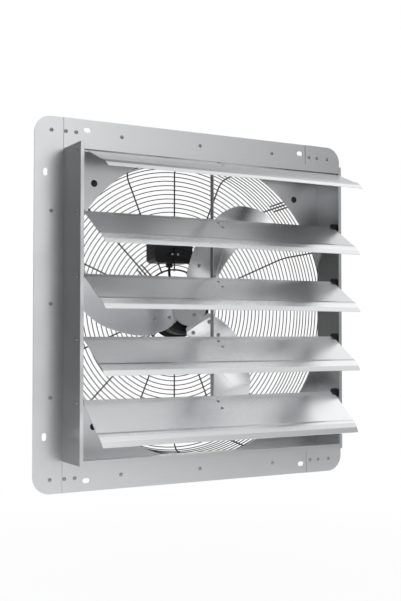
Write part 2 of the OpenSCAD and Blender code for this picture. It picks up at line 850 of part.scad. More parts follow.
function wrap(p, i) = p[(i + len(p)) % len(p)];
function curve(a, b, c, d, t) = 0.5 * (2 * b + (c - a) * t + (2 * a - 5 * b + 4 * c - d) * t * t
    + (3 * b - a - 3 * c + d) * t * t * t);

module blade_shape() {
    p = blade_shares * blade_tip_r;
    polygon([for (i = [0 : len(p) - 1], j = [0 : (i == 0 ? 0 : edge_steps - 1)])
        curve(wrap(p, i - 1), p[i], wrap(p, i + 1), wrap(p, i + 2), j / edge_steps)]);
}

// a place on the rolled sheet, z off its front face
module on_roll(p) {
    translate([0, 0, -blade_depth]) rotate([blade_pitch, -blade_lean, 0])
        translate([p[0], 0, blade_roll_r]) rotate([asin(p[1] / blade_roll_r), 0, 0])
            translate([0, 0, -blade_roll_r]) children();
}

module blade(k) {
    color(metal) at_blade(k) difference() {
        intersection() {
            translate([0, 0, -2 * blade_depth]) linear_extrude(3 * blade_depth) blade_shape();
            rolled(0, blade_t);
        }
        for (p = blade_rivets_at) on_roll(p)
            cylinder(h = 4 * spider_t, r = blade_rivet_r + seat, center = true, $fn = fine);
    }
}

module blade_1() { blade(0); }
module blade_2() { blade(1); }
module blade_3() { blade(2); }

module blade_rivets() {
    color(metal) for (k = [0 : 2]) at_blade(k) for (p = blade_rivets_at) on_roll(p) {
        translate([0, 0, -blade_t - spider_t - 2 * seat])
            cylinder(h = blade_t + spider_t + 4 * seat, r = blade_rivet_r, $fn = fine);
        translate([0, 0, 2 * seat]) rotate([180, 0, 0]) dome(blade_rivet_head_r, blade_rivet_head_t);
        translate([0, 0, -blade_t - spider_t - 2 * seat]) dome(blade_rivet_head_r, blade_rivet_head_t);
    }
}

module arm_shape() {
    translate([(arm_in + arm_out) / 2, (arm_low + arm_high) / 2])
        soft_square(arm_out - arm_in, arm_high - arm_low, arm_corner_r);
}

module spider() {
    color(dull) difference() {
        union() {
            bar_y(spider_r, spider_front, spider_back);
            for (k = [0 : 2]) at_blade(k) intersection() {
                translate([0, 0, -2 * blade_depth]) linear_extrude(3 * blade_depth) arm_shape();
                rolled(blade_t + seat, blade_t + spider_t + seat);
            }
        }
        bar_y(hub_nose_r + seat, 0, motor_front);
        for (k = [0 : 2]) at_blade(k) {
            for (p = blade_rivets_at) on_roll(p)
                cylinder(h = 6 * spider_t, r = blade_rivet_r + seat, center = true, $fn = fine);
            translate([hub_rivet_at, 0, -2 * blade_depth])
                cylinder(h = 3 * blade_depth, r = blade_rivet_r + seat, $fn = fine);
        }
    }
}

module hub() {
    mid = (hub_flange_front + hub_flange_t + hub_back) / 2;
    color(dull) difference() {
        union() {
            bar_y(hub_nose_r, hub_front, hub_flange_front + eps);
            bar_y(hub_flange_r, hub_flange_front, hub_flange_front + hub_flange_t);
            bar_y(hub_r, hub_flange_front, hub_back);
        }
        bar_y(shaft_r + seat, 0, motor_front);
        for (k = [0 : 2]) at_blade(k) translate([hub_rivet_at, 0, -2 * blade_depth])
            cylinder(h = 3 * blade_depth, r = blade_rivet_r + seat, $fn = fine);
        translate([0, mid, 0]) cylinder(h = 2 * hub_r, r = set_screw_r + seat, $fn = fine);
    }
}

module set_screw() {
    mid = (hub_flange_front + hub_flange_t + hub_back) / 2;
    color(dark) translate([0, mid, shaft_r + seat]) cylinder(h = hub_r - shaft_r, r = set_screw_r, $fn = fine);
}

module hub_rivets() {
    back = hub_flange_front + hub_flange_t + seat;
    color(metal) for (k = [0 : 2]) rotate([0, -blade_turn - k * 120, 0]) translate([hub_rivet_at, 0, 0]) {
        bar_y(blade_rivet_r, spider_front - seat, back);
        dome_front(spider_front - seat, blade_rivet_head_r, blade_rivet_head_t);
    }
}

// ---- control box

module box_shape(inset) {
    translate([0, box_mid_z]) soft_square(box_w - 2 * inset, box_h - 2 * inset, box_corner_r - inset);
}

module lid_spots() {
    for (x = [-1, 1], z = [-1, 1])
        translate([x * (box_w / 2 - lid_screw_in), 0, box_mid_z + z * (box_h / 2 - lid_screw_in)]) children();
}

module saddle_spots() {
    for (z = saddle_at) translate([0, 0, z]) children();
}

module control_box() {
    color(dark) difference() {
        union() {
            difference() {
                plate(lid_front - seat, box_depth - lid_t - seat) box_shape(0);
                plate(lid_front, box_depth - lid_t - box_wall) box_shape(box_wall);
            }
            lid_spots() bar_y(lid_screw_in - box_wall, box_front + box_wall, lid_front - seat);
        }
        lid_spots() bar_y(lid_screw_r + seat, lid_front - lid_screw_bite, lid_front + eps);
        saddle_spots() for (x = [-1, 1]) translate([x * saddle_screw_at, 0, 0])
            bar_y(saddle_screw_r + seat, box_front - eps, box_front + 2 * box_wall);
        translate([0, gland_y, box_low - eps]) cylinder(h = 2 * box_wall, r = lead_r + seat, $fn = fine);
    }
}

module control_lid() {
    color(dark) difference() {
        plate(box_back, lid_t) box_shape(0);
        lid_spots() bar_y(lid_screw_r + seat, lid_front - eps, box_back + eps);
    }
}

module lid_screws() {
    color(metal) lid_spots() {
        bar_y(lid_screw_r, lid_front - lid_screw_bite + seat, box_back + seat);
        bar_y(lid_screw_head_r, box_back + seat, box_back + seat + lid_screw_head_t);
    }
}

// straps over the upright spoke that hold the box
module box_saddles() {
    color(dark) saddle_spots() translate([0, box_front - seat, 0]) difference() {
        translate([-saddle_w / 2, -saddle_rise - saddle_t, -saddle_h / 2]) cube([saddle_w, saddle_rise + saddle_t, saddle_h]);
        translate([-spoke_wire_r - seat, -saddle_rise, -saddle_h])
            cube([2 * (spoke_wire_r + seat), saddle_rise + eps, 2 * saddle_h]);
        for (x = [-1, 1]) translate([x * saddle_screw_at, 0, 0])
            bar_y(saddle_screw_r + seat, -2 * saddle_rise, saddle_rise);
    }
}

module saddle_screws() {
    y = box_front - saddle_rise - saddle_t - 2 * seat;
    color(metal) saddle_spots() for (x = [-1, 1]) translate([x * saddle_screw_at, 0, 0]) {
        bar_y(saddle_screw_r, y, box_front + box_wall);
        bar_y(saddle_screw_head_r, y - saddle_screw_head_t, y);
    }
}

module cable_gland() {
    color(dark) translate([0, gland_y, box_low - seat - gland_h]) difference() {
        cylinder(h = gland_h, r = gland_r, $fn = 6);
        translate([0, 0, -eps]) cylinder(h = gland_h + 2 * eps, r = lead_r + seat, $fn = fine);
    }
}

// the lead drops from the gland and steps forward into the rear cap
module motor_lead() {
    step = gland_y - lead_end_y - 2 * lead_bend_r * (1 - cos(lead_turn));
    mid = step / sin(lead_turn);
    top = box_low + box_wall;
    low = rear_cap_r + lead_low;
    high = low + 2 * lead_bend_r * sin(lead_turn) + mid * cos(lead_turn);
    mid_y = gland_y - lead_bend_r * (1 - cos(lead_turn));
    color(dark) rotate([90, 0, 90]) {
        translate([gland_y, top, 0]) rotate(-90) wire(top - high, lead_r);
        translate([gland_y - lead_bend_r, high, 0]) wire_bend(lead_bend_r, lead_r, -lead_turn, lead_turn);
        translate([mid_y, high - lead_bend_r * sin(lead_turn), 0]) rotate(-90 - lead_turn) wire(mid, lead_r);
        translate([lead_end_y + lead_bend_r, low, 0]) wire_bend(lead_bend_r, lead_r, 180 - lead_turn, lead_turn);
        translate([lead_end_y, low, 0]) rotate(-90) wire(lead_low + lead_into, lead_r);
    }
}

casing_left();
casing_right();
casing_top();
casing_bottom();
fan_panel();
flange_rivets();
pivot_bushes();
pivot_pins();
louver_1();
louver_2();
louver_3();
louver_4();
louver_5();
bracket_1();
bracket_2();
bracket_3();
bracket_4();
bracket_5();
bracket_rivets_1();
bracket_rivets_2();
bracket_rivets_3();
bracket_rivets_4();
bracket_rivets_5();
tie_bar();
tie_pins();
guard_bolts();
guard_washers();
guard_nuts();
guard_spokes();
guard_face_rings();
guard_side_rings();
guard_centre_ring();
motor_loops();
corner_loops();
motor_plate();
motor_can();
motor_front_cap();
motor_rear_cap();
case_bolts();
motor_washers();
motor_screws();
bearings();
stator();
rotor_core();
shaft();
hub();
set_screw();
spider();
hub_rivets();
blade_1();
blade_2();
blade_3();
blade_rivets();
control_box();
control_lid();
lid_screws();
box_saddles();
saddle_screws();
cable_gland();
motor_lead();
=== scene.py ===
import json
import math

import bpy
import numpy as np
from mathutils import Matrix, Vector


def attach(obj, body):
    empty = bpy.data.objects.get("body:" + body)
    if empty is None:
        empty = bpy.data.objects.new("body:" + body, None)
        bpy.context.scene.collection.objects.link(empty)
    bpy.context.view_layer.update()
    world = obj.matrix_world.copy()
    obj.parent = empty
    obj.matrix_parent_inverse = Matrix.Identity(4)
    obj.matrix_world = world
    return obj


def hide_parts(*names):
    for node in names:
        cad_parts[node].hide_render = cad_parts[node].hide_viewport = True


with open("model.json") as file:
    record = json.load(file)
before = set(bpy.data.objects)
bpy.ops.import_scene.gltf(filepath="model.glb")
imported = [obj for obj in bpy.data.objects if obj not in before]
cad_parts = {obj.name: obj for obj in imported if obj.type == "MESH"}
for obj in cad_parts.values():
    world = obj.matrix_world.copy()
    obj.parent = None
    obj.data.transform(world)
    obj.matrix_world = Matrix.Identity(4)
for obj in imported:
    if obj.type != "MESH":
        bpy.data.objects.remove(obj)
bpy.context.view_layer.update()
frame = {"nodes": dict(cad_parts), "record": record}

nodes = frame["nodes"]
mm = 0.001
print("frame loaded:", len(nodes), "pieces")


# helpers for node trees and vectors

def addSockets(group, way, kinds):
    for name, kind in kinds.items():
        group.interface.new_socket(name=name, in_out=way, socket_type="NodeSocket" + kind)


# a Math node whose inputs are sockets to link or plain numbers
def mathNode(tree, operation, *inputs):
    node = tree.nodes.new("ShaderNodeMath")
    node.operation = operation
    for socket, given in zip(node.inputs, inputs):
        if isinstance(given, bpy.types.NodeSocket):
            tree.links.new(given, socket)
        else:
            socket.default_value = given
    return node.outputs[0]


def unit(a):
    return a / np.linalg.norm(a, axis=-1, keepdims=True)


# meshes from grids

# corner i, j of a grid joins i + 1, j and i, j + 1, going round where a side is closed
def gridFaces(rows, cols, closeRows=False, closeCols=False, first=0):
    i = np.arange(rows if closeRows else rows - 1)
    j = np.arange(cols if closeCols else cols - 1)
    i, j = (a.ravel() for a in np.meshgrid(i, j, indexing="ij"))
    down, right = (i + 1) % rows, (j + 1) % cols
    return first + np.stack([i * cols + j, i * cols + right, down * cols + right, down * cols + j], axis=1)


# points and faces of one piece, gathered part by part, in millimetres
class Shape:

    def __init__(self):
        self.points, self.faces, self.count = [], [], 0

    def add(self, points, faces):
        self.points.append(points)
        self.faces += [[int(k) + self.count for k in face] for face in faces]
        self.count += len(points)

    # a grid of points, rows by columns, with its first and last rows filled where caps is set
    def addGrid(self, grid, closeRows=False, closeCols=False, caps=False):
        rows, cols = grid.shape[:2]
        faces = gridFaces(rows, cols, closeRows, closeCols).tolist()
        if caps:
            faces += [list(range(cols))[::-1], list(range((rows - 1) * cols, rows * cols))]
        self.add(grid.reshape(-1, 3), faces)

    def make(self, name):
        mesh = bpy.data.meshes.new(name)
        mesh.from_pydata((np.concatenate(self.points) * mm).tolist(), [], self.faces)
        mesh.polygons.foreach_set("use_smooth", np.full(len(self.faces), True))
        mesh.update()
        piece = bpy.data.objects.new(name, mesh)
        bpy.context.scene.collection.objects.link(piece)
        return piece


tubeValues = {"firstSide": (0.31, 0.9, 0.2), "domeSteps": (0.5, 0.86, 0.99)}


# rings round a path, each turned from the last by as little as the path bends; open ends close in a dome
def tube(path, radius, sides, closed=False):
    path = np.asarray(path, float)
    if closed:
        ahead = np.roll(path, -1, 0) - np.roll(path, 1, 0)
    else:
        ahead = np.gradient(path, axis=0)
    ahead = unit(ahead)
    side = np.cross(ahead[0], tubeValues["firstSide"])
    around = np.linspace(0, 2 * np.pi, sides, endpoint=False)[:, None]
    rings = []
    for point, way in zip(path, ahead):
        side = unit(side - way * np.dot(side, way))
        rings.append(point + radius * (np.cos(around) * side + np.sin(around) * np.cross(way, side)))
    rings = np.array(rings)
    if closed:
        return rings
    domes = []
    for end, sign in ((0, -1), (-1, 1)):
        for share in tubeValues["domeSteps"]:
            width = math.sqrt(1 - share * share)
            domes.append(path[end] + sign * share * radius * ahead[end] + width * (rings[end] - path[end]))
    return np.concatenate([np.array(domes[2::-1]), rings, np.array(domes[3:])])


# points turned about the fan's axis, counterclockwise as seen from the front
def turned(points, angle):
    c, s = math.cos(angle), math.sin(angle)
    x, y, z = points[..., 0], points[..., 1], points[..., 2]
    return np.stack([c * x - s * z, y, s * x + c * z], axis=-1)


# points of an arc in a plane, angles in degrees
def arc(centre, radius, start, stop, steps):
    a = np.radians(np.linspace(start, stop, steps))
    return np.stack([centre[0] + radius * np.cos(a), centre[1] + radius * np.sin(a)], axis=1)


# points of a straight in a plane, with the second coordinate held
def straight(values, held):
    return np.stack([values, np.full(len(values), held)], axis=1)


shadeValues = {"weld": 2e-6, "sharpOver": 30, "bevelOver": 35, "bevelSteps": 2}


# welds loose triangles and shades them smooth, with steep edges kept sharp
def softShade():
    group = bpy.data.node_groups.new("softShade", "GeometryNodeTree")
    addSockets(group, "INPUT", {"Geometry": "Geometry"})
    addSockets(group, "OUTPUT", {"Geometry": "Geometry"})
    make, link = group.nodes.new, group.links.new
    given, out = make("NodeGroupInput"), make("NodeGroupOutput")
    weld, shade = make("GeometryNodeMergeByDistance"), make("GeometryNodeSetMeshNormal")
    angle, over = make("GeometryNodeInputMeshEdgeAngle"), make("FunctionNodeCompare")
    weld.inputs["Distance"].default_value = shadeValues["weld"]
    shade.mode = "SHARPNESS"
    shade.inputs["Remove Custom"].default_value = True
    shade.inputs["Face Sharpness"].default_value = False
    over.operation = "GREATER_THAN"
    over.inputs["B"].default_value = math.radians(shadeValues["sharpOver"])
    link(angle.outputs["Unsigned Angle"], over.inputs["A"])
    link(over.outputs["Result"], shade.inputs["Edge Sharpness"])
    link(given.outputs[0], weld.inputs["Geometry"])
    link(weld.outputs[0], shade.inputs["Mesh"])
    link(shade.outputs[0], out.inputs[0])
    return group


softGroup = softShade()


def weldAndShade(piece):
    piece.modifiers.new("softShade", "NODES").node_group = softGroup


# normals lean to the largest faces; with influence, rounded edges leave the flat faces' normals alone
def evenNormals(piece, influence=False):
    normals = piece.modifiers.new("normals", "WEIGHTED_NORMAL")
    normals.keep_sharp = True
    normals.use_face_influence = influence


# materials

grainValues = {"streakDetail": 3.0, "cloudScale": 9.0, "cloudDetail": 4.0, "depth": 0.0002}


# rolled sheet: the mean of fine streaks along one way and a slow cloud, both from Object coordinates,
# shifts roughness and tone up and down by the spreads
def makeGrainGroup():
    group = bpy.data.node_groups.new("rolledGrain", "ShaderNodeTree")
    addSockets(group, "INPUT", {"Streak Scale": "Vector", "Roughness": "Float", "Spread": "Float",
                                "Tone": "Color", "Tone Spread": "Float"})
    addSockets(group, "OUTPUT", {"Color": "Color", "Roughness": "Float", "Height": "Float"})
    make, link = group.nodes.new, group.links.new
    given, out = make("NodeGroupInput"), make("NodeGroupOutput")
    coords, stretch = make("ShaderNodeTexCoord"), make("ShaderNodeMapping")
    streak, cloud = make("ShaderNodeTexNoise"), make("ShaderNodeTexNoise")
    link(coords.outputs["Object"], stretch.inputs["Vector"])
    link(given.outputs["Streak Scale"], stretch.inputs["Scale"])
    link(stretch.outputs["Vector"], streak.inputs["Vector"])
    link(coords.outputs["Object"], cloud.inputs["Vector"])
    streak.inputs["Scale"].default_value = 1.0
    streak.inputs["Detail"].default_value = grainValues["streakDetail"]
    cloud.inputs["Scale"].default_value = grainValues["cloudScale"]
    cloud.inputs["Detail"].default_value = grainValues["cloudDetail"]
    half = mathNode(group, "MULTIPLY", cloud.outputs["Fac"], 0.5)
    mixed = mathNode(group, "MULTIPLY_ADD", streak.outputs["Fac"], 0.5, half)
    centred = mathNode(group, "SUBTRACT", mixed, 0.5)
    rough = mathNode(group, "MULTIPLY_ADD", centred, given.outputs["Spread"], given.outputs["Roughness"])
    tone = mathNode(group, "MULTIPLY_ADD", centred, given.outputs["Tone Spread"], 1.0)
    shade = make("ShaderNodeVectorMath")
    shade.operation = "SCALE"
    link(given.outputs["Tone"], shade.inputs[0])
    link(tone, shade.inputs["Scale"])
    link(shade.outputs[0], out.inputs["Color"])
    link(rough, out.inputs["Roughness"])
    link(streak.outputs["Fac"], out.inputs["Height"])
    return group


grainGroup = makeGrainGroup()


# one finish: the shared grain drives roughness and, where they aren't even all over, colour and a faint bump
def makeFinish(name, tone, metallic, roughness, spread=0.12, toneSpread=0.06, streak=(8, 240, 240),
               bump=0.02):
    material = bpy.data.materials.new(name)
    material.use_nodes = True
    tree = material.node_tree
    shader = tree.nodes["Principled BSDF"]
    grain = tree.nodes.new("ShaderNodeGroup")
    grain.node_tree = grainGroup
    values = {"Streak Scale": streak, "Roughness": roughness, "Spread": spread, "Tone": (*tone, 1),
              "Tone Spread": toneSpread}
    for socket, value in values.items():
        grain.inputs[socket].default_value = value
    tree.links.new(grain.outputs["Roughness"], shader.inputs["Roughness"])
    shader.inputs["Base Color"].default_value = (*tone, 1)
    shader.inputs["Metallic"].default_value = metallic
    if toneSpread:
        tree.links.new(grain.outputs["Color"], shader.inputs["Base Color"])
    if bump:
        relief = tree.nodes.new("ShaderNodeBump")
        relief.inputs["Strength"].default_value = bump
        relief.inputs["Distance"].default_value = grainValues["depth"]
        tree.links.new(grain.outputs["Height"], relief.inputs["Height"])
        tree.links.new(relief.outputs["Normal"], shader.inputs["Normal"])
    return material


fine = (300, 300, 300)
finishes = {
    "casing_sheet": makeFinish("casingSheet", (0.80, 0.81, 0.82), 0.95, 0.34),
    "panel_sheet": makeFinish("panelSheet", (0.68, 0.69, 0.70), 0.95, 0.32),
    "louver_sheet": makeFinish("louverSheet", (0.95, 0.96, 0.97), 0.97, 0.27, spread=0.02, toneSpread=0.0,
                               bump=0.0),
    "blade_sheet": makeFinish("bladeSheet", (0.80, 0.81, 0.82), 0.95, 0.19, spread=0.02, toneSpread=0.0,
                              streak=(60, 60, 60), bump=0.0),
    "hub_metal": makeFinish("hubMetal", (0.55, 0.56, 0.57), 0.9, 0.4),
    "rivet_metal": makeFinish("rivetMetal", (0.38, 0.39, 0.40), 0.9, 0.38, streak=fine),
    "linkage_steel": makeFinish("linkageSteel", (0.62, 0.63, 0.64), 0.9, 0.4),
    "bush_plastic": makeFinish("bushPlastic", (0.03, 0.03, 0.033), 0.0, 0.5, streak=(400, 400, 400)),
    "guard_wire": makeFinish("guardCoat", (0.012, 0.012, 0.013), 0.0, 0.45, streak=fine, bump=0.05),
    "black_steel": makeFinish("blackSteel", (0.06, 0.06, 0.062), 0.5, 0.25, streak=fine),
    "plated_steel": makeFinish("platedSteel", (0.55, 0.55, 0.54), 0.9, 0.35, streak=fine),
    "motor_paint": makeFinish("motorPaint", (0.008, 0.008, 0.009), 0.0, 0.5, streak=(120, 120, 120),
                              bump=0.1),
    "bright_steel": makeFinish("brightSteel", (0.6, 0.6, 0.61), 1.0, 0.3),
    "core_steel": makeFinish("coreSteel", (0.35, 0.35, 0.36), 0.9, 0.5, streak=(10, 900, 10)),
    "box_plastic": makeFinish("boxPlastic", (0.02, 0.02, 0.021), 0.0, 0.5, streak=(260, 260, 260), bump=0.08),
    "lead_rubber": makeFinish("leadRubber", (0.015, 0.015, 0.015), 0.0, 0.6, streak=(200, 200, 200)),
}
slotOf = {row["node"]: row["material_slot"] for row in frame["record"]["subparts"]}


def dress(piece, slotName):
    piece.data.materials.clear()
    piece.data.materials.append(finishes[slotName])


for name, piece in nodes.items():
    dress(piece, slotOf[name])
print("finishes:", len(finishes))


def replaceNodes(piece, body, slotName, *names):
    dress(piece, slotName)
    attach(piece, body)
    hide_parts(*names)


# CAD nodes that stay: edges rounded, faces shaded smooth

roundedEdges = {
    0.45: ("casing_left", "casing_right", "casing_top", "casing_bottom", "fan_panel", "tie_bar", "spider",
           "box_saddles"),
    0.35: tuple("bracket_%d" % k for k in range(1, 6)) + ("motor_washers", "guard_washers", "lid_screws"),
    0.8: ("motor_can", "motor_rear_cap", "motor_plate", "hub", "motor_screws", "case_bolts", "guard_nuts"),
    1.6: ("control_box", "control_lid"),
    0.6: ("cable_gland", "pivot_bushes"),
}


def finishNodes():
    widths = {name: width for width, names in roundedEdges.items() for name in names}
    for name, piece in nodes.items():
        weldAndShade(piece)
        if name in widths:
            bevel = piece.modifiers.new("edges", "BEVEL")
            bevel.width = widths[name] * mm
            bevel.segments = shadeValues["bevelSteps"]
            bevel.limit_method = "ANGLE"
            bevel.angle_limit = math.radians(shadeValues["bevelOver"])
            bevel.face_strength_mode = "FSTR_ALL"
            bevel.loop_slide = False
        evenNormals(piece, name in widths)


finishNodes()
print("CAD nodes finished")


# guard: the same curves as the solids, in round wire with welds

guardValues = {
    "depth": 118.7, "flatR": 306.0, "bendR": 25.0, "flare": 9.2, "spokeWire": 1.6, "ringWire": 1.05,
    "centreWire": 2.0, "centreR": 87.0, "pitch": 10.25, "rings": 34, "spokes": 16, "seat": 0.05,
    "loopR": 8.0, "loopBendR": 6.0, "loopSide": 60.0, "loopRings": 4, "boltAt": 252.5, "screwAt": 61.0,
    "weldR": 1.5, "weldDeep": 0.9, "weldWide": 1.15, "weldLong": 1.3, "weldRings": 5, "weldSides": 8,
    "centreWeld": 1.4, "ringSteps": 176, "centreSteps": 160, "ringSides": 8, "centreSides": 12,
    "wireSides": 10, "faceSteps": 12, "bendSteps": 20, "sideSteps": 6, "bowSteps": 20, "legSteps": 8,
    "footSteps": 10, "levelSteps": 4,
}


# place on a spoke a length s along it and o inside its middle: flat, then a bend, then the flared side
def guardMaths():
    v = guardValues
    flare = math.radians(v["flare"])
    bendY = v["depth"] - v["bendR"]
    bendLen = v["bendR"] * (math.pi / 2 - flare)
    sideR = v["flatR"] + v["bendR"] * math.cos(flare)
    sideY = bendY + v["bendR"] * math.sin(flare)
    baseY = v["spokeWire"] + v["seat"]
    sideLen = (sideY - baseY) / math.cos(flare)

    def place(s, o=0.0):
        turn = (s - v["flatR"]) / v["bendR"]
        if s <= v["flatR"]:
            return s, v["depth"] - o
        if s <= v["flatR"] + bendLen:
            return v["flatR"] + (v["bendR"] - o) * math.sin(turn), bendY + (v["bendR"] - o) * math.cos(turn)
        rest = s - v["flatR"] - bendLen
        return (sideR - o * math.cos(flare) + rest * math.sin(flare),
                sideY - o * math.sin(flare) - rest * math.cos(flare))

    return place, bendLen, sideLen, baseY, sideR + sideLen * math.sin(flare)


guardPlace, bendLen, sideLen, guardBaseY, guardFootR = guardMaths()


# a circle about the fan's axis at one depth
def flatRing(radius, depth, steps):
    a = np.linspace(0, 2 * np.pi, steps, endpoint=False)
    return atDepth(radius * np.stack([np.cos(a), np.sin(a)], axis=1), depth)


# a path of x and z, as points at one depth
def atDepth(path, depth):
    return np.stack([path[:, 0], np.full(len(path), depth), path[:, 1]], axis=1)


# a path of radius and depth, as points to the right of the axis
def inPlane(path, offset=0.0):
    path = np.asarray(path)
    return np.stack([path[:, 0], path[:, 1], np.full(len(path), offset)], axis=1)


# an ellipsoid where a ring meets a spoke, cut off at both ends
def addWeld(shape, place, angle, radius):
    v = guardValues
    up = np.linspace(-np.pi / 2, np.pi / 2, v["weldRings"])[1:-1, None]
    around = np.linspace(0, 2 * np.pi, v["weldSides"], endpoint=False)[None, :]
    drop = np.stack([np.cos(up) * np.cos(around) * v["weldWide"], np.cos(up) * np.sin(around) * v["weldWide"],
                     np.sin(up) * np.ones_like(around) * v["weldLong"]], axis=-1) * radius
    drop = drop + np.array([place[0], place[1], 0.0])
    shape.addGrid(turned(drop, angle), closeCols=True, caps=True)


# one wire turned about the fan's axis to each angle
def wiresRound(name, wire, angles, node):
    shape = Shape()
    for angle in angles:
        shape.addGrid(turned(wire, angle), closeCols=True, caps=True)
    replaceNodes(shape.make(name), "casing", "guard_wire", node)


# rings at even steps along a spoke, on the face or on the flared side, each with a weld at every spoke
def buildRings(turns):
    v = guardValues
    layer = v["spokeWire"] + v["ringWire"] + v["seat"]
    face, side = Shape(), Shape()
    for k in range(1, v["rings"]):
        s = v["centreR"] + k * v["pitch"]
        shape = face if s <= v["flatR"] else side
        ring = flatRing(*guardPlace(s, layer), v["ringSteps"])
        shape.addGrid(tube(ring, v["ringWire"], v["ringSides"], closed=True), True, True)
        for angle in turns:
            addWeld(shape, guardPlace(s, v["spokeWire"] * v["weldDeep"]), angle, v["weldR"])
    foot = flatRing(guardFootR - 2 * v["spokeWire"] - v["seat"], guardBaseY, v["ringSteps"])
    side.addGrid(tube(foot, v["spokeWire"], v["ringSides"], closed=True), True, True)
    replaceNodes(face.make("guardFaceRings"), "casing", "guard_wire", "guard_face_rings")
    replaceNodes(side.make("guardSideRings"), "casing", "guard_wire", "guard_side_rings")

    centre = Shape()
    depth = v["depth"] - v["spokeWire"] - v["centreWire"] - v["seat"]
    ring = flatRing(v["centreR"], depth, v["centreSteps"])
    centre.addGrid(tube(ring, v["centreWire"], v["centreSides"], closed=True), True, True)
    for angle in turns:
        addWeld(centre, (v["centreR"], v["depth"] - v["spokeWire"]), angle, v["centreWeld"] * v["weldR"])
    replaceNodes(centre.make("guardCentreRing"), "casing", "guard_wire", "guard_centre_ring")


# spokes: straight over the face, an arc, straight down the flared side
def buildSpokes(turns):
    v = guardValues
    ends = [v["centreR"] - v["centreWire"], v["flatR"], v["flatR"] + bendLen,
            v["flatR"] + bendLen + sideLen - v["spokeWire"]]
    along = np.concatenate([np.linspace(ends[0], ends[1], v["faceSteps"])[:-1],
                            np.linspace(ends[1], ends[2], v["bendSteps"])[:-1],
                            np.linspace(ends[2], ends[3], v["sideSteps"])])
    wire = tube(inPlane([guardPlace(s) for s in along]), v["spokeWire"], v["wireSides"])
    wiresRound("guardSpokes", wire, turns, "guard_spokes")


# loops round the motor screws: a straight in, a half circle, a straight out
def buildMotorLoops(turns):
    v = guardValues
    out = v["centreR"] + v["loopRings"] * v["pitch"]
    bow = arc((v["screwAt"], 0), v["loopR"], 90, 270, v["bowSteps"])
    near = straight(np.linspace(out, v["screwAt"], v["legSteps"])[:-1], v["loopR"])
    far = straight(np.linspace(v["screwAt"], out, v["legSteps"])[1:], -v["loopR"])
    path = atDepth(np.concatenate([near, bow, far]), v["depth"])
    wiresRound("motorLoops", tube(path, v["spokeWire"], v["wireSides"]), turns, "motor_loops")


# loops round the corner bolts: down the side, an arc outwards, a half circle round the bolt, and back
def buildCornerLoops(turns):
    v = guardValues
    flare, turn = math.radians(v["flare"]), 90 - v["flare"]
    boltR = v["boltAt"] * math.sqrt(2)
    footR = guardFootR + v["loopBendR"] * math.tan(math.radians(turn / 2))
    bend = arc((footR, guardBaseY + v["loopBendR"]), v["loopBendR"], 270 - turn, 270, v["footSteps"])
    lean = np.array([-math.sin(flare), math.cos(flare)])
    up = bend[0] + np.linspace(v["loopSide"], 0, v["sideSteps"])[:-1, None] * lean
    level = straight(np.linspace(footR, boltR, v["levelSteps"])[1:-1], guardBaseY)
    one = np.concatenate([up, bend, level])
    bow = arc((boltR, 0), v["loopR"], 90, -90, v["bowSteps"])
    path = np.concatenate([inPlane(one, v["loopR"]), atDepth(bow, guardBaseY),
                           inPlane(one[::-1], -v["loopR"])])
    wiresRound("cornerLoops", tube(path, v["spokeWire"], v["wireSides"]), turns, "corner_loops")


def buildGuard():
    turns = [2 * math.pi * k / guardValues["spokes"] for k in range(guardValues["spokes"])]
    quarters = [math.radians(a) for a in (45, 135, 225, 315)]
    buildRings(turns)
    buildSpokes(turns)
    buildMotorLoops(quarters)
    buildCornerLoops(quarters)


buildGuard()
print("guard made")


# louvers: a rolled tube, a flat, a raised lip and a turned-down edge

louverValues = {
    "pivotY": -73.45, "pivotTop": 306.3, "pitch": 125.55, "chord": 126.0, "length": 615.0, "sheet": 1.0,
    "tubeR": 3.6, "slopes": (22, 32, 32, 33.5, 39.5), "endCut": 3.0, "cutFrom": 0.75, "bendR": 13.2,
    "bends": ((0.0, 0.0246), (0.095, 0.029), (0.722, 0.029), (0.77, 0.040), (0.817, 0.037),
              (0.905, 0.023), (1.0, -0.0095)),
    "bendShare": 0.45, "bendSteps": 5, "noseSteps": 7, "rollSteps": 30, "stations": 49,
    "wave": 0.4, "waveEase": 0.6, "waveLengths": (61, 173), "waveShift": 1.7,
}


# a line of points with each inner corner replaced by a parabola, whose ends lie at equal reach from it
def roundedLine(points, radius):
    share, steps = louverValues["bendShare"], louverValues["bendSteps"]
    points = np.asarray(points, float)
    out = [points[0]]
    for a, b, c in zip(points, points[1:], points[2:]):
        back, ahead = unit(a - b), unit(c - b)
        half = math.acos(max(-1.0, min(1.0, float(np.dot(back, ahead))))) / 2
        reach = min(radius / math.tan(half), share * np.linalg.norm(a - b), share * np.linalg.norm(c - b))
        for t in np.linspace(0, 1, steps):
            out.append((1 - t) ** 2 * (b + reach * back) + 2 * t * (1 - t) * b + t * t * (b + reach * ahead))
    out.append(points[-1])
    return np.array(out)


# section of a louver: the bent line moved half a sheet to each side, a round nose, and the rolled tube
def louverOutline():
    v = louverValues
    half = v["sheet"] / 2
    line = roundedLine([(a * v["chord"], b * v["chord"]) for a, b in v["bends"]], v["bendR"])
    line[-1] -= half * unit(line[-1] - line[-2])
    ahead = unit(np.gradient(line, axis=0))
    across = np.stack([-ahead[:, 1], ahead[:, 0]], axis=1)
    upper, lower = line + half * across, line - half * across
    tip = math.degrees(math.atan2(across[-1][1], across[-1][0]))
    nose = arc(line[-1], half, tip, tip - 180, v["noseSteps"])[1:-1]
    stop = math.degrees(math.asin(lower[0][1] / v["tubeR"]))
    roll = arc((0, 0), v["tubeR"], stop + 360, 90, v["rollSteps"])[:-1]
    under = lower[lower[:, 0] > roll[0][0] + half]
    return np.concatenate([upper, nose, under[::-1], roll])


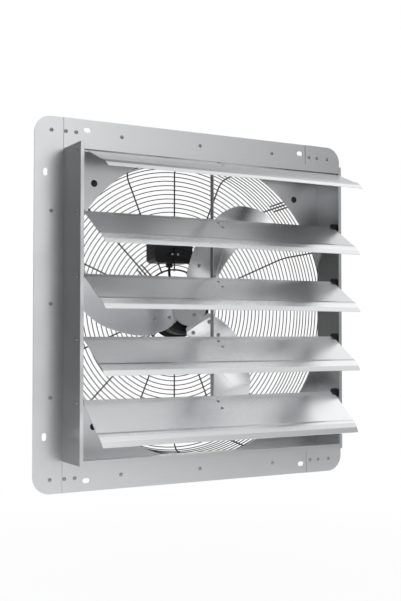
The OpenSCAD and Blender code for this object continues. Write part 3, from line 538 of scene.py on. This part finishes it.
# the section swept along x and cut back at the lip's ends, with a wave of sin x times cos x in the sheet;
# the stations are the mean of even ones and of a sine, which crowds them towards the ends
def buildLouvers():
    v = louverValues
    short, long = v["waveLengths"]
    outline = louverOutline()
    where = np.sin(np.linspace(-np.pi / 2, np.pi / 2, v["stations"]))
    where = 0.5 * where + 0.5 * np.linspace(-1, 1, v["stations"])
    cut = v["endCut"] * np.clip(outline[:, 0] / v["chord"] - v["cutFrom"], 0, 1) / (1 - v["cutFrom"])
    for k, slope in enumerate(v["slopes"]):
        s = math.radians(slope)
        out, up = np.array([0, -math.cos(s), -math.sin(s)]), np.array([0, -math.sin(s), math.cos(s)])
        pivot = np.array([0, v["pivotY"], v["pivotTop"] - k * v["pitch"]])
        x = where[:, None] * (v["length"] / 2 - cut)[None, :]
        u, w = outline[:, 0], outline[:, 1]
        sag = np.clip(u / v["chord"], 0, 1)[None, :]
        wave = v["wave"] * sag * (1 - v["waveEase"] * sag)
        wave = wave * np.sin(x / short + v["waveShift"] * k) * np.cos(x / long + k)
        grid = (pivot + u[None, :, None] * out + (w[None, :] + wave)[..., None] * up
                + x[..., None] * np.array([1.0, 0, 0]))
        shape = Shape()
        shape.addGrid(grid, closeCols=True, caps=True)
        piece = shape.make("louverSheet%d" % (k + 1))
        weldAndShade(piece)
        evenNormals(piece)
        replaceNodes(piece, "louver_%d" % (k + 1), "louver_sheet", "louver_%d" % (k + 1))


buildLouvers()
print("louvers made")


# blades: one rolled sheet each, cut to the photographed outline

bladeValues = {
    "tipR": 295.0, "sheet": 1.6, "rollR": 300.0, "pitch": 9.5, "lean": 4.0, "turn": 62.8, "depth": 48.8,
    "centre": (0.75, -0.02), "rings": 26, "crowd": 1.35, "edgeSteps": 5, "rootSteps": 14, "roundSteps": 9,
    "edge": ((0.152, -0.112), (0.150, 0.085), (0.168, 0.128), (0.218, 0.158), (0.300, 0.182),
             (0.390, 0.197), (0.460, 0.198), (0.520, 0.190), (0.593, 0.173), (0.655, 0.152), (0.712, 0.132),
             (0.760, 0.109), (0.802, 0.080), (0.848, 0.042), (0.890, -0.004), (0.922, -0.062),
             (0.950, -0.140), (0.966, -0.215), (0.967, -0.250), (0.957, -0.290), (0.935, -0.335),
             (0.912, -0.362), (0.890, -0.352), (0.868, -0.300), (0.845, -0.250), (0.800, -0.226),
             (0.735, -0.211), (0.660, -0.186), (0.585, -0.154), (0.510, -0.136), (0.420, -0.123),
             (0.300, -0.116), (0.200, -0.114)),
}


# the edge as a Catmull-Rom curve through its points, straight from the first to the second
def bladeEdge():
    v = bladeValues
    p = np.array(v["edge"]) * v["tipR"]
    n = len(p)
    steps = v["edgeSteps"]
    out = [p[0] + (p[1] - p[0]) * t for t in np.linspace(0, 1, v["rootSteps"])[:-1]]
    for i in range(1, n):
        a, b, c, d = p[i - 1], p[i], p[(i + 1) % n], p[(i + 2) % n]
        for t in np.arange(steps) / steps:
            out.append(0.5 * (2 * b + (c - a) * t + (2 * a - 5 * b + 4 * c - d) * t * t
                              + (3 * b - a - 3 * c + d) * t ** 3))
    return np.array(out)


# points of the flat outline moved along the shaft onto a sheet rolled to rollR, under the front face
def onRoll(flat, under):
    v = bladeValues
    pitch, lean = math.radians(v["pitch"]), -math.radians(v["lean"])
    about = np.array([[1, 0, 0], [0, math.cos(pitch), -math.sin(pitch)],
                      [0, math.sin(pitch), math.cos(pitch)]])
    tip = np.array([[math.cos(lean), 0, math.sin(lean)], [0, 1, 0], [-math.sin(lean), 0, math.cos(lean)]])
    back = (tip @ about).T
    start = np.concatenate([flat, np.full((len(flat), 1), v["depth"])], axis=1) @ back.T
    step = back @ np.array([0, 0, 1.0])
    r = v["rollR"] + np.asarray(under)
    y, z = start[:, 1], start[:, 2] - v["rollR"]
    a = step[1] ** 2 + step[2] ** 2
    b = 2 * (y * step[1] + z * step[2])
    c = y * y + z * z - r * r
    return np.concatenate([flat, ((-b - np.sqrt(b * b - 4 * a * c)) / (2 * a))[:, None]], axis=1)


# rings of the outline drawn in towards its centre, laid on both faces of the roll, joined by a half round
def buildBlades():
    v = bladeValues
    edge = bladeEdge()
    centre = np.array(v["centre"]) * v["tipR"]
    inward = centre - edge
    shares = 1 - (1 - np.linspace(0, 1, v["rings"])) ** v["crowd"]
    lip = v["sheet"] / 2
    tangent = unit(np.roll(edge, -1, 0) - np.roll(edge, 1, 0))
    normal = np.stack([-tangent[:, 1], tangent[:, 0]], axis=1)
    normal *= np.sign(np.sum(normal * inward, axis=1))[:, None]
    layers = []
    for t in shares[1:-1]:
        layers.append(onRoll(centre + (edge + lip * normal - centre) * t, 0.0))
    for a in np.radians(np.linspace(90, -90, v["roundSteps"])):
        layers.append(onRoll(edge + lip * (1 - math.cos(a)) * normal, lip - lip * math.sin(a)))
    for t in shares[-2:0:-1]:
        layers.append(onRoll(centre + (edge + lip * normal - centre) * t, v["sheet"]))
    grid = np.array(layers)
    size = grid.shape[1]
    for k in range(3):
        shape = Shape()
        turn = math.radians(v["turn"] + 120 * k)
        world = np.stack([grid[..., 0], -grid[..., 2], grid[..., 1]], axis=-1)
        shape.addGrid(turned(world, turn), closeCols=True)
        # each pole is a fan from its middle point, and its indices count from that point
        for row, under in ((0, 0.0), (len(layers) - 1, v["sheet"])):
            hub = onRoll(centre[None, :], under)[0]
            hub = turned(np.array([[hub[0], -hub[2], hub[1]]]), turn)
            first = row * size - shape.count
            ring = [first + j for j in range(size)]
            fan = [[ring[(j + 1) % size], ring[j], 0] if row == 0 else [ring[j], ring[(j + 1) % size], 0]
                   for j in range(size)]
            shape.add(hub, fan)
        piece = shape.make("fanBlade%d" % (k + 1))
        replaceNodes(piece, "fan", "blade_sheet", "blade_%d" % (k + 1))


buildBlades()
print("blades made")


# motor lead: out of the gland, down and forward into the rear cap

leadValues = {"radius": 3.1, "boxLow": 103.0, "into": 3.0, "glandY": 144.35, "endY": 130.75, "capR": 49.0,
              "low": 6.0, "bite": 6.0, "bendR": 16.0, "turn": 45.0, "bendSteps": 8, "topSteps": 5,
              "endSteps": 4, "sides": 16}


# down, an arc, a slanted straight, an arc back and down again, so that the jog spans its two ends;
# the ends are hidden, so most of each dome is left off
def buildLead():
    v = leadValues
    turn = math.radians(v["turn"])
    step = v["glandY"] - v["endY"] - 2 * v["bendR"] * (1 - math.cos(turn))
    mid = step / math.sin(turn)
    low = v["capR"] + v["low"]
    high = low + 2 * v["bendR"] * math.sin(turn) + mid * math.cos(turn)
    top = v["boxLow"] + v["into"]
    end = low - v["low"] - v["bite"]
    first = arc((v["glandY"] - v["bendR"], high), v["bendR"], 0, -v["turn"], v["bendSteps"])
    second = arc((v["endY"] + v["bendR"], low), v["bendR"], 180 - v["turn"], 180, v["bendSteps"])
    above = straight(np.linspace(top, high, v["topSteps"])[:-1], v["glandY"])[:, ::-1]
    below = straight(np.linspace(low, end, v["endSteps"])[1:], v["endY"])[:, ::-1]
    path = np.concatenate([above, first, second, below])
    path = np.concatenate([np.zeros((len(path), 1)), path], axis=1)
    shape = Shape()
    shape.addGrid(tube(path, v["radius"], v["sides"])[2:-2], closeCols=True, caps=True)
    piece = shape.make("motorLead")
    replaceNodes(piece, "casing", "lead_rubber", "motor_lead")


buildLead()
print("lead made")


# camera

cameraValues = {"place": (-1.05056, -1.8712, -0.06158), "yaw": 29.37, "pitch": 1.98, "lens": 58.34}


def makeCamera():
    values = cameraValues
    yaw, pitch = math.radians(values["yaw"]), math.radians(values["pitch"])
    ahead = Vector((math.sin(yaw) * math.cos(pitch), math.cos(yaw) * math.cos(pitch), math.sin(pitch)))
    camera = bpy.data.objects.new("camera", bpy.data.cameras.new("camera"))
    camera.data.lens = values["lens"]
    camera.location = values["place"]
    camera.rotation_euler = ahead.to_track_quat("-Z", "Y").to_euler()
    bpy.context.scene.collection.objects.link(camera)
    bpy.context.scene.camera = camera


makeCamera()


# stage and light

stageValues = {"floorZ": -0.62, "floorX": (-2.5, 4.0), "floorY": (-1.0, 5.5), "floorTone": 0.92,
               "floorRoughness": 0.9, "glow": (0.93, 1.0), "fade": (0.5, 1.6)}

# softboxes of the studio: degrees to the right of the front, degrees up, reach in degrees, brightness
skyValues = {"core": 3, "softboxes": (
    # in front
    (6, -10, 18, 0.5), (20, -10, 18, 0.5), (6, 4, 18, 0.6), (8, 16, 18, 0.7), (26, 14, 18, 0.45),
    # high in front and to the left
    (-15, 50, 40, 0.15), (17, 36, 40, 0.5), (-68, 41, 40, 0.5),
    # above and high behind
    (80, 72, 40, 0.58), (-100, 57, 40, 0.5), (-153, 47, 40, 0.7),
    # to the right
    (55, -5, 18, 0.3), (102, 31, 40, 0.8), (115, 3, 40, 0.3), (130, 10, 18, 0.4),
    # behind
    (140, -12, 18, 0.55), (167, 9, 40, 1.1),
)}

lampValues = {
    "overhead": {"place": (-0.4, -1.2, 2.6), "aim": (0.1, 0, -0.3), "size": 3.6, "power": 10},
}


# brightness by direction: for each softbox a smooth step in the cosine to its middle, all added up
def makeSky(tree):
    make, link = tree.nodes.new, tree.links.new
    coords = make("ShaderNodeTexCoord")
    total = None
    for side, up, reach, strength in skyValues["softboxes"]:
        side, up = math.radians(side), math.radians(up)
        level = math.cos(up)
        dot, step = make("ShaderNodeVectorMath"), make("ShaderNodeMapRange")
        dot.operation = "DOT_PRODUCT"
        dot.inputs[1].default_value = (math.sin(side) * level, -math.cos(side) * level, math.sin(up))
        link(coords.outputs["Generated"], dot.inputs[0])
        step.interpolation_type = "SMOOTHSTEP"
        step.inputs["From Min"].default_value = math.cos(math.radians(reach))
        step.inputs["From Max"].default_value = math.cos(math.radians(skyValues["core"]))
        step.inputs["To Max"].default_value = strength
        link(dot.outputs["Value"], step.inputs["Value"])
        lit = step.outputs["Result"]
        total = lit if total is None else mathNode(tree, "ADD", total, lit)
    return total


# the softboxes light the object; the camera sees plain white
def makeWorld():
    world = bpy.data.worlds.new("studio")
    bpy.context.scene.world = world
    world.use_nodes = True
    tree = world.node_tree
    make, link = tree.nodes.new, tree.links.new
    plain, white, mix = tree.nodes["Background"], make("ShaderNodeBackground"), make("ShaderNodeMixShader")
    path = make("ShaderNodeLightPath").outputs
    white.inputs["Color"].default_value = (1, 1, 1, 1)
    link(makeSky(tree), plain.inputs["Color"])
    link(mathNode(tree, "MAXIMUM", path["Is Camera Ray"], path["Is Transmission Ray"]), mix.inputs["Fac"])
    link(plain.outputs[0], mix.inputs[1])
    link(white.outputs[0], mix.inputs[2])
    link(mix.outputs[0], tree.nodes["World Output"].inputs["Surface"])


# a pale floor that glows to the eye, more so away from the object, so that its edge merges with the white
def makeFloor():
    v = stageValues
    (left, right), (near, far), z = v["floorX"], v["floorY"], v["floorZ"]
    shape = Shape()
    corners = [[left, near, z], [right, near, z], [right, far, z], [left, far, z]]
    shape.add(np.array(corners) / mm, [[0, 1, 2, 3]])
    floor = shape.make("floor")
    material = bpy.data.materials.new("paleFloor")
    material.use_nodes = True
    tree = material.node_tree
    make, link = tree.nodes.new, tree.links.new
    shader = tree.nodes["Principled BSDF"]
    shader.inputs["Base Color"].default_value = (*[v["floorTone"]] * 3, 1)
    shader.inputs["Roughness"].default_value = v["floorRoughness"]
    glow, mix, path = make("ShaderNodeEmission"), make("ShaderNodeMixShader"), make("ShaderNodeLightPath")
    place, away, fade = make("ShaderNodeTexCoord"), make("ShaderNodeVectorMath"), make("ShaderNodeMapRange")
    away.operation = "LENGTH"
    link(place.outputs["Object"], away.inputs[0])
    link(away.outputs["Value"], fade.inputs["Value"])
    fade.interpolation_type = "SMOOTHSTEP"
    for socket, value in zip(("From Min", "From Max", "To Min", "To Max"), (*v["fade"], *v["glow"])):
        fade.inputs[socket].default_value = value
    seen = path.outputs["Is Camera Ray"]
    for name in ("Is Glossy Ray", "Is Transmission Ray"):
        seen = mathNode(tree, "MAXIMUM", seen, path.outputs[name])
    link(mathNode(tree, "MULTIPLY", seen, fade.outputs["Result"]), mix.inputs["Fac"])
    link(shader.outputs[0], mix.inputs[1])
    link(glow.outputs[0], mix.inputs[2])
    link(mix.outputs[0], tree.nodes["Material Output"].inputs["Surface"])
    floor.data.materials.append(material)


def makeLamps():
    for name, values in lampValues.items():
        lamp = bpy.data.objects.new(name, bpy.data.lights.new(name, "AREA"))
        lamp.data.size = values["size"]
        lamp.data.energy = values["power"]
        place = Vector(values["place"])
        lamp.location = place
        lamp.rotation_euler = (Vector(values["aim"]) - place).to_track_quat("-Z", "Y").to_euler()
        bpy.context.scene.collection.objects.link(lamp)


makeWorld()
makeFloor()
makeLamps()
bpy.context.scene.view_settings.view_transform = "Standard"
print("stage and light made")
